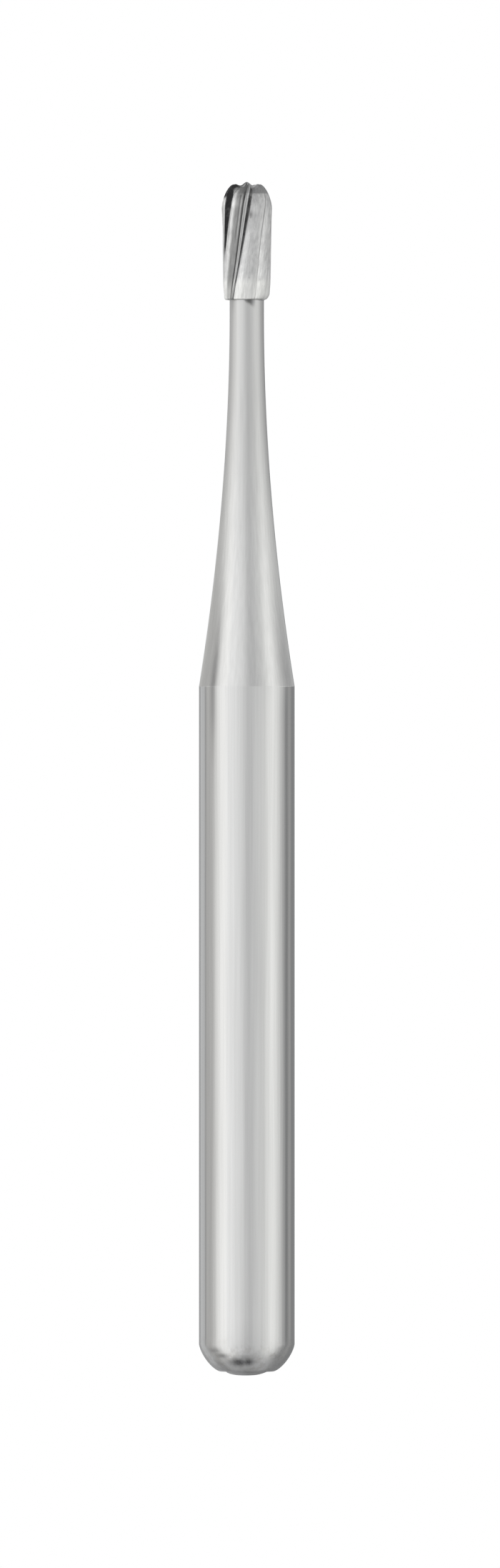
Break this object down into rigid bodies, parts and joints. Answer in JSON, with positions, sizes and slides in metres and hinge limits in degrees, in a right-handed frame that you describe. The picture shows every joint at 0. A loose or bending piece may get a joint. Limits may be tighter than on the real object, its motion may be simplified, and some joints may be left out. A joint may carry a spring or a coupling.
{
  "type": "dental bur",
  "caption": "Friction-grip dental bur with a long pear-shaped fluted cutting head, a thin flared neck and a plain round shank with a rounded end.",
  "frame": {"origin": "on the axis at the end of the shank, the lowest point of the pip", "axes": "+Z along the axis from the shank end to the cutting tip, -Y the side that the picture shows"},
  "size_m": [0.0016, 0.0016, 0.0199],
  "materials": {
    "bur": "fine ground and polished shank and neck, matt ground cutting head"
  },
  "bodies": {
    "root": {"bur": "bur"}
  },
  "joints": []
}
